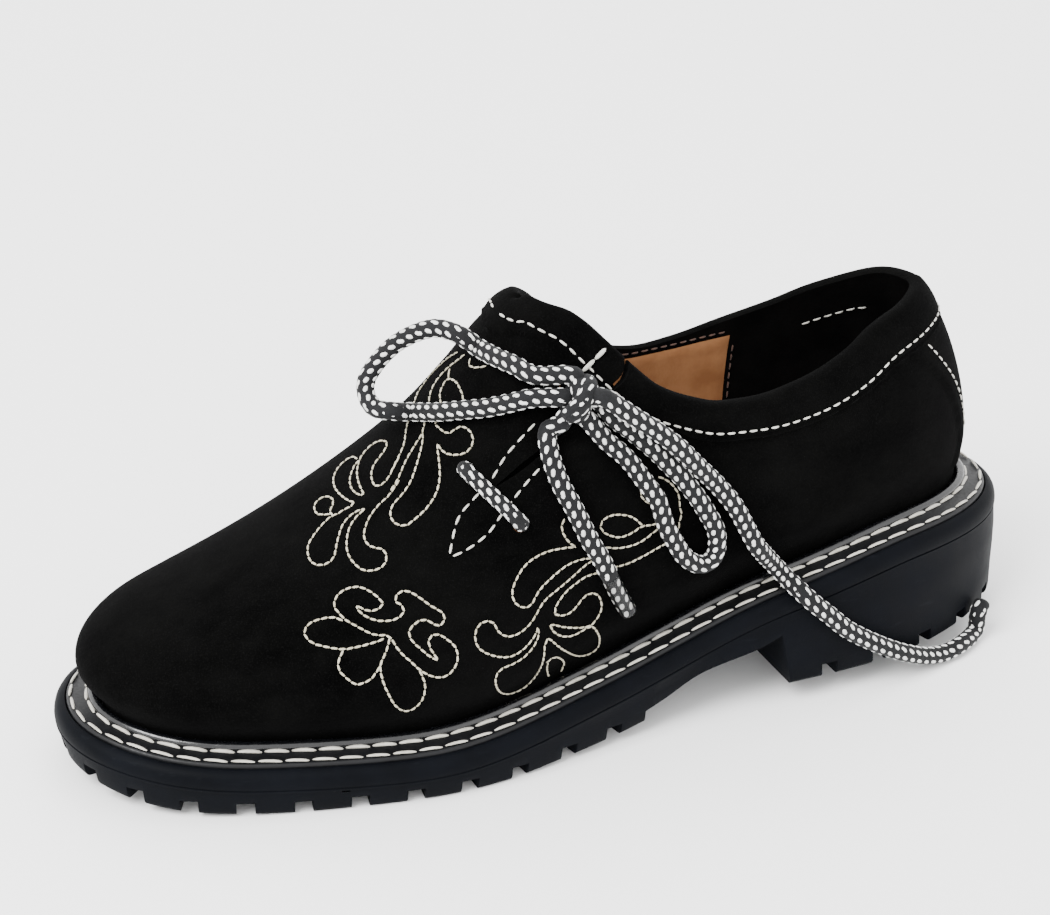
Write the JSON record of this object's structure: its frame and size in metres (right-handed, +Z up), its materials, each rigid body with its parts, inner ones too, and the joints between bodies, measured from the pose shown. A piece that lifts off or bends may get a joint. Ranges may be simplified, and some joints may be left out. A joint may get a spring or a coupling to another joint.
{
  "type": "shoe",
  "caption": "Left low-cut folk shoe in black suede with a side-laced slit, embroidered vamp, raised collar band, stitched welt and lugged rubber sole with a stacked heel.",
  "frame": {"origin": "on the floor, under the middle of the sole's length and width", "axes": "+X towards the lateral side of the left shoe, -Y towards the toe, +Y towards the heel, +Z up"},
  "size_m": [0.1041, 0.2981, 0.1271],
  "materials": {
    "rubber": "matte",
    "welt_leather": "satin",
    "insole_leather": "matte",
    "suede": "matte",
    "lace": "matte"
  },
  "bodies": {
    "root": {"outsole": "rubber", "welt": "welt_leather", "insole": "insole_leather", "upper": "suede", "lace_bars": "lace", "lace_knot": "lace", "lace_loop_front": "lace", "lace_loop_rear": "lace", "lace_tail_short": "lace", "lace_tail_long": "lace"}
  },
  "joints": []
}
